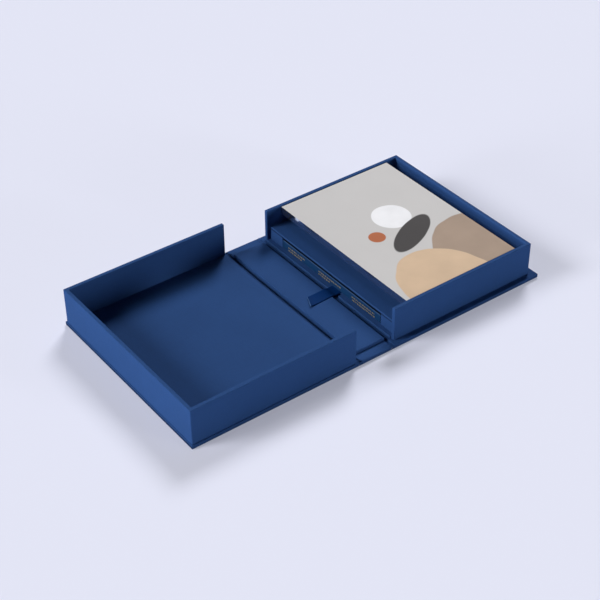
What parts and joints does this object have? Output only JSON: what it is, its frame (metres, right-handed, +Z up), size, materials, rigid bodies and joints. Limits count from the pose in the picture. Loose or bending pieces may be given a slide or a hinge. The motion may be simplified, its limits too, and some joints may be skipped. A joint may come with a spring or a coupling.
{
  "type": "booklet box",
  "caption": "Open clamshell box in blue book cloth with a folding lid tray, a base tray, a booklet in a bay with a ribbon pull, and a mounted picture on a shelf.",
  "frame": {"origin": "under the middle of the open case, on the surface it lies on", "axes": "+X from the lid tray to the base tray, +Y towards the head of the box, +Z up"},
  "size_m": [0.38, 0.2016, 0.0395],
  "materials": {
    "book_cloth": "fine woven book cloth, matt",
    "greyboard": "raw grey binder's board",
    "ribbon_satin": "satin ribbon",
    "picture_foam": "black foam board",
    "picture_edge": "acrylic plate with mirror-polished edges",
    "picture_paper": null,
    "booklet_card": "dark blue card with plain gold rules",
    "booklet_paper": "uncoated white paper"
  },
  "bodies": {
    "base": {"back_cover_board": "greyboard", "back_cover_cloth": "book_cloth", "back_cover_infill": "greyboard", "back_joint_cloth": "book_cloth", "base_floor_board": "greyboard", "base_floor_cloth": "book_cloth", "base_head_wall": "greyboard", "base_tail_wall": "greyboard", "base_fore_wall": "greyboard", "base_tray_cloth": "book_cloth", "bay_head_block": "book_cloth", "bay_tail_block": "book_cloth", "bay_back_stop": "book_cloth", "bay_rear_rail": "greyboard", "shelf_board": "greyboard", "shelf_cloth": "book_cloth", "ribbon_pull": "ribbon_satin", "picture_riser": "picture_foam", "picture_plate": "picture_edge", "picture_print": "picture_paper"},
    "spine": {"spine_board": "greyboard", "spine_cloth": "book_cloth", "spine_infill": "greyboard", "spine_panel_board": "greyboard", "spine_panel_cloth": "book_cloth"},
    "lid": {"front_joint_cloth": "book_cloth", "front_cover_board": "greyboard", "front_cover_cloth": "book_cloth", "front_cover_infill": "greyboard", "lid_floor_board": "greyboard", "lid_floor_cloth": "book_cloth", "lid_head_wall": "greyboard", "lid_tail_wall": "greyboard", "lid_fore_wall": "greyboard", "lid_tray_cloth": "book_cloth"},
    "booklet": {"booklet_cover": "booklet_card", "booklet_pages": "booklet_paper"}
  },
  "joints": [
    {"name": "spine_hinge", "type": "hinge", "parent": "base", "child": "spine", "pos_m": [0.01815, 0, 0.0038], "axis": [0, 1, 0], "range_deg": [0, 90], "deforming": ["back_joint_cloth", "ribbon_pull"]},
    {"name": "cover_hinge", "type": "hinge", "parent": "spine", "child": "lid", "pos_m": [-0.01815, 0, 0.0038], "axis": [0, 1, 0], "range_deg": [0, 90], "deforming": ["front_joint_cloth"]},
    {"name": "booklet_slide", "type": "slide", "parent": "base", "child": "booklet", "axis": [-1, 0, 0], "range_m": [0, 0.0052]}
  ]
}
